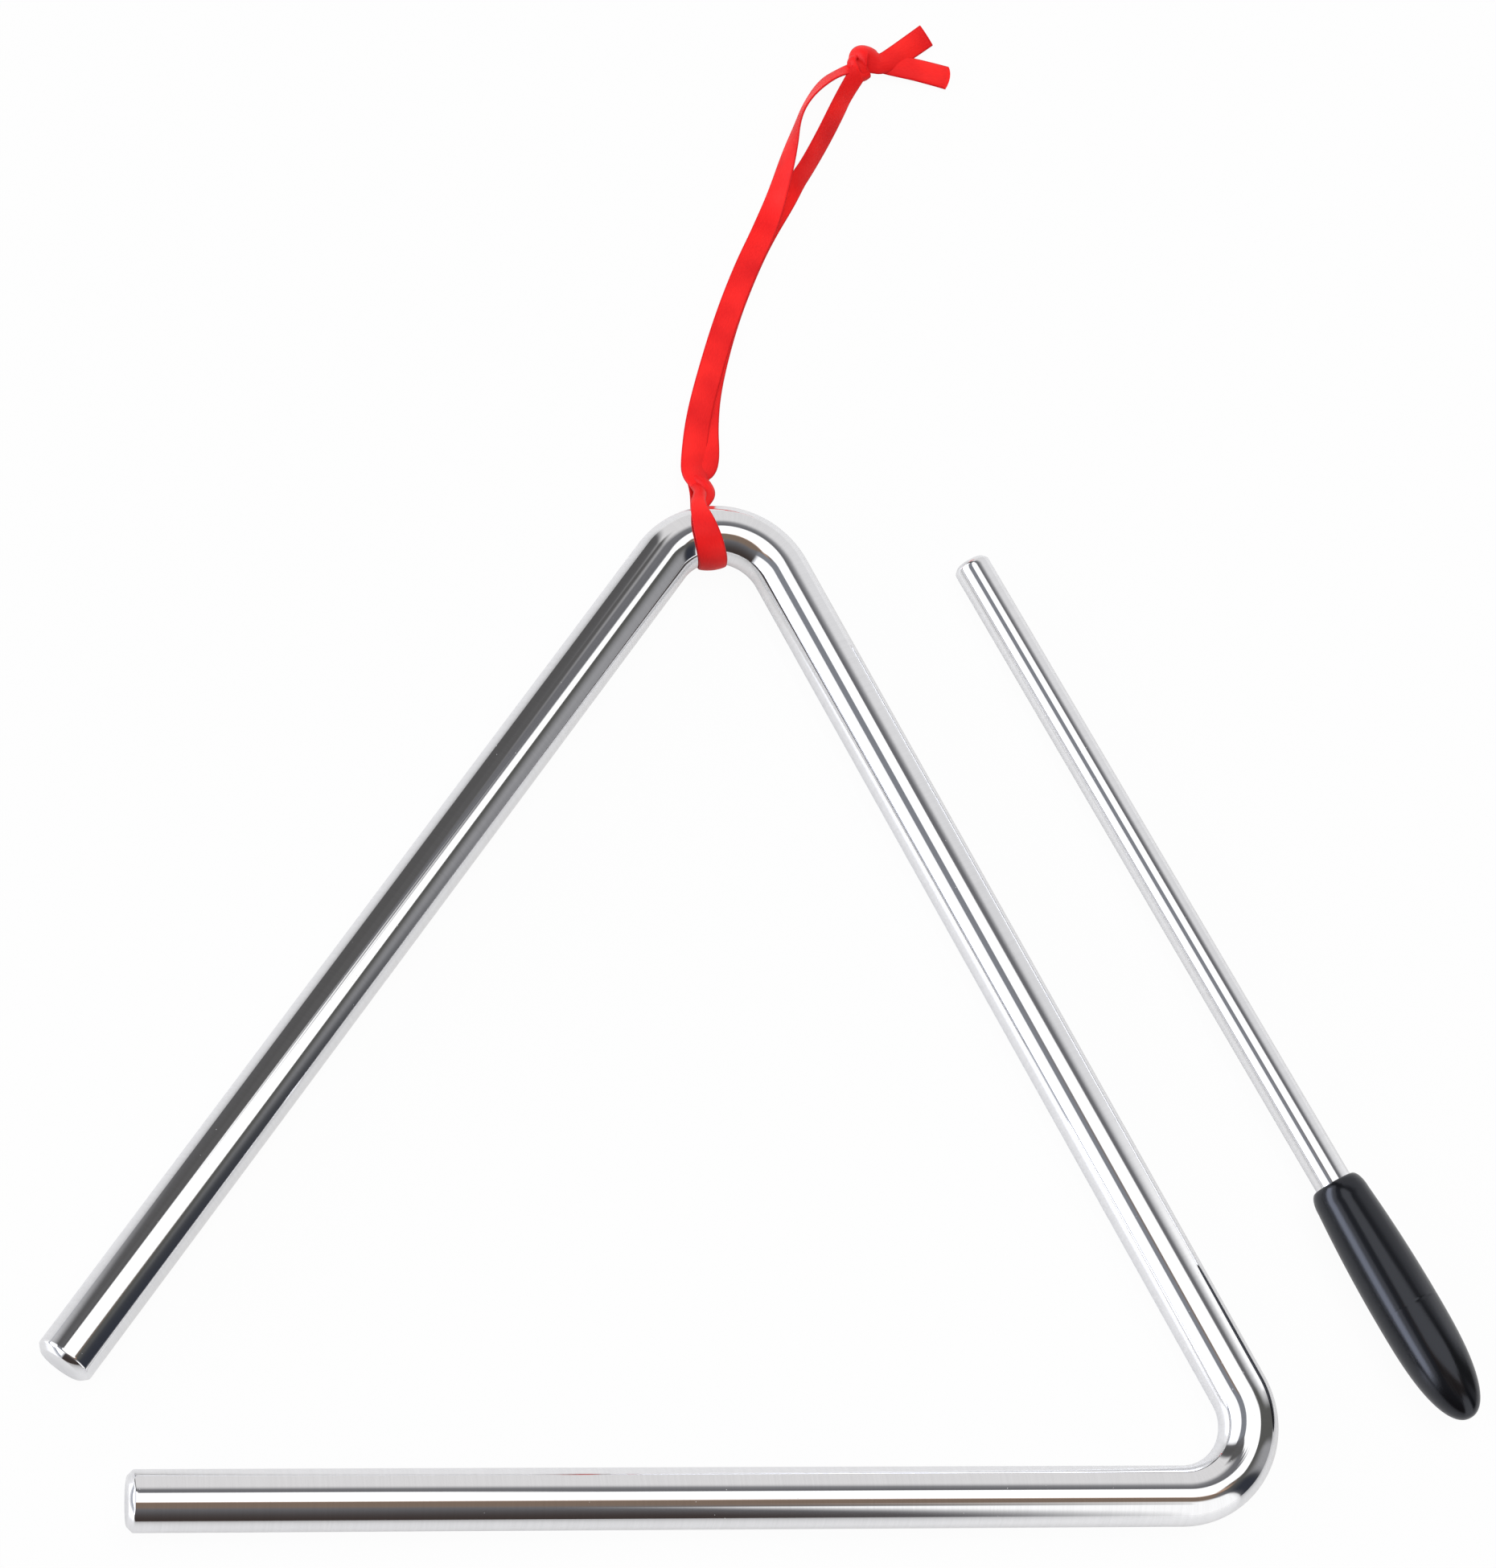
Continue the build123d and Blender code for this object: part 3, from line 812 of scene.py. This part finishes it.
# %% End knot and tails
knot_points = [
    ((0.0258, 0.0759, 0.0006), 0, (2.6, 0.3)), ((0.0260, 0.0762, 0.0012), 0, (3.9, 0.9)),
    ((0.0266, 0.0765, 0.0014), 0, (4.9, 1.7)), ((0.0273, 0.0765, 0.0014), 0, (4.6, 1.7)),
    ((0.0282, 0.0760, 0.0016), 0, (3.6, 1.0)), ((0.0293, 0.0757, 0.0017), -4, (3.0, 0.4)),
    ((0.0320, 0.0775, 0.0015), -12, (3.4, 0.15)), ((0.0365, 0.0813, 0.0009), -18, (3.5, 0.1)),
]
lower_points = [
    ((0.0276, 0.0762, 0.0012), 0, (2.2, 0.3)), ((0.0296, 0.0759, 0.0013), 0, (2.9, 0.3)),
    ((0.0320, 0.0758, 0.0012), 0, (3.5, 0.3)), ((0.0348, 0.0755, 0.0011), 0, (3.7, 0.35)),
    ((0.0393, 0.0747, 0.0006), 0, (3.8, 0.45)),
]
end_knot, _ = free_strand("end_knot", knot_points)
lower_tail, _ = free_strand("lower_tail", lower_points, end_bow=0.3 * mm)

# The roll's points in mm, the way each points outward, and its width and cup
tuck_fall = -0.87
tuck_points = [
    ((25.9, 77.2, 1.5), (-0.35, 0.35), (1.6, 0.3)), ((25.1, 76.5, 1.8), (-0.4, 0.3), (1.9, 0.35)),
    ((24.8, 75.6, 2.0), (-0.5, 0.0), (2.0, 0.4)), ((25.2, 74.8, 1.9), (-0.4, -0.3), (2.0, 0.4)),
    ((25.6, 74.0, 1.5), (-0.3, -0.4), (1.8, 0.4)), ((26.6, 73.6, 1.2), (0.0, -0.5), (1.6, 0.4)),
    ((27.5, 74.4, 1.1), (0.35, -0.35), (1.4, 0.3)),
]
tuck_route = [from_foot(*(x * mm for x in place)) for place, _, _ in tuck_points]
tuck_across = [Vector((*outward, tuck_fall)) for _, outward, _ in tuck_points]
knot_tuck, _ = ribbon_strip("knot_tuck", tuck_route, tuck_across, [form for _, _, form in tuck_points])
print("end knot and tails", len(end_knot.data.polygons) + len(lower_tail.data.polygons), "faces")

# %% [markdown]
# Satin is woven so that long threads float over the face, which gives it a soft sheen along the
# strip and a faint cross grain. The weave group makes fine lines out of the place along and across
# the strip, with slow mottling, and the two selvedges are a shade darker.

# %% Satin weave group
weave, weave_in, weave_out = new_group(
    "satin_weave", [("Place", VECTOR), ("Thread Scale", FLOAT)],
    [("Height", FLOAT), ("Shade", FLOAT), ("Selvedge", FLOAT)],
)
strip_place = new_node(weave, "ShaderNodeSeparateXYZ", inputs={0: weave_in.outputs["Place"]})
thread_along, thread_across, edge_share = strip_place.outputs
thread_scale, length_share = weave_in.outputs["Thread Scale"], 0.25
long_scale = math_node(weave, "MULTIPLY", thread_scale, length_share)
fine = math_node(weave, "MULTIPLY", thread_across, thread_scale)
coarse = math_node(weave, "MULTIPLY", thread_along, long_scale)
thread_place = new_node(weave, "ShaderNodeCombineXYZ", inputs={0: fine, 1: coarse}).outputs[0]
threads = noise(weave, thread_place, scale=1.0, detail=2.0)
flat_place = new_node(weave, "ShaderNodeCombineXYZ", inputs={0: thread_along, 1: thread_across}).outputs[0]
mottle = noise(weave, flat_place, scale=170.0, detail=1.0)


def blend(thread_part):
    """Threads and mottling added up, with this part of threads."""
    fine_part = math_node(weave, "MULTIPLY", threads, thread_part)
    return math_node(weave, "ADD", fine_part, math_node(weave, "MULTIPLY", mottle, 1 - thread_part))


selvedge = fit_range(weave, math_node(weave, "ABSOLUTE", edge_share), before=(0.86, 0.99))
for socket, name in ((blend(0.15), "Height"), (blend(0.2), "Shade"), (selvedge, "Selvedge")):
    weave.links.new(socket, weave_out.inputs[name])

# %% Red satin
deep_red, bright_red = (0.72, 0.003, 0.005, 1), (1.0, 0.015, 0.012, 1)
selvedge_red = (0.70, 0.005, 0.007, 1)
wrinkle_depth = 2.0e-4

satin, satin_tree, satin_shader, satin_place = new_material("red_satin")
satin_weave = place_group(satin_tree, weave, Place=satin_place, Thread_Scale=6000.0)
satin_shade = fit_range(satin_tree, satin_weave.outputs["Shade"], before=(0.32, 0.68))
satin_face = mix_colours(satin_tree, satin_shade, deep_red, bright_red)
satin_colour = mix_colours(satin_tree, satin_weave.outputs["Selvedge"], satin_face, selvedge_red)
satin_tree.links.new(satin_colour, satin_shader.inputs["Base Color"])
satin_rough = fit_range(satin_tree, satin_weave.outputs["Shade"], after=(0.55, 0.38))
satin_tree.links.new(satin_rough, satin_shader.inputs["Roughness"])
satin_height = math_node(satin_tree, "MULTIPLY", satin_weave.outputs["Height"], wrinkle_depth)
satin_tree.links.new(bump_normal(satin_tree, satin_height), satin_shader.inputs["Normal"])
satin_shader.inputs["Specular IOR Level"].default_value = 0.25
satin_shader.inputs["Sheen Weight"].default_value = 0.04
satin_shader.inputs["Sheen Tint"].default_value = (1.0, 0.3, 0.25, 1)

ribbon_pieces = {
    left_strand: ["ribbon_strand_left"], right_strand: ["ribbon_strand_right"], band: ["ribbon_bar_loop"],
    half_knot: ["ribbon_hitch"], end_knot: ["ribbon_end_knot", "ribbon_tail_upper"], knot_tuck: [],
    lower_tail: ["ribbon_tail_lower"],
}
for piece, nodes in ribbon_pieces.items():
    piece.data.materials.append(satin)
    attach(piece, "ribbon")
    if nodes:
        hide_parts(*nodes)
print("satin on", len(ribbon_pieces), "pieces")

# %% Sizes, and the end of the scene
new_low, new_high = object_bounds()
for name, low, high in (("CAD", cad_low, cad_high), ("visual", new_low, new_high)):
    print(name, "box", [round(x / mm, 1) for x in high - low])
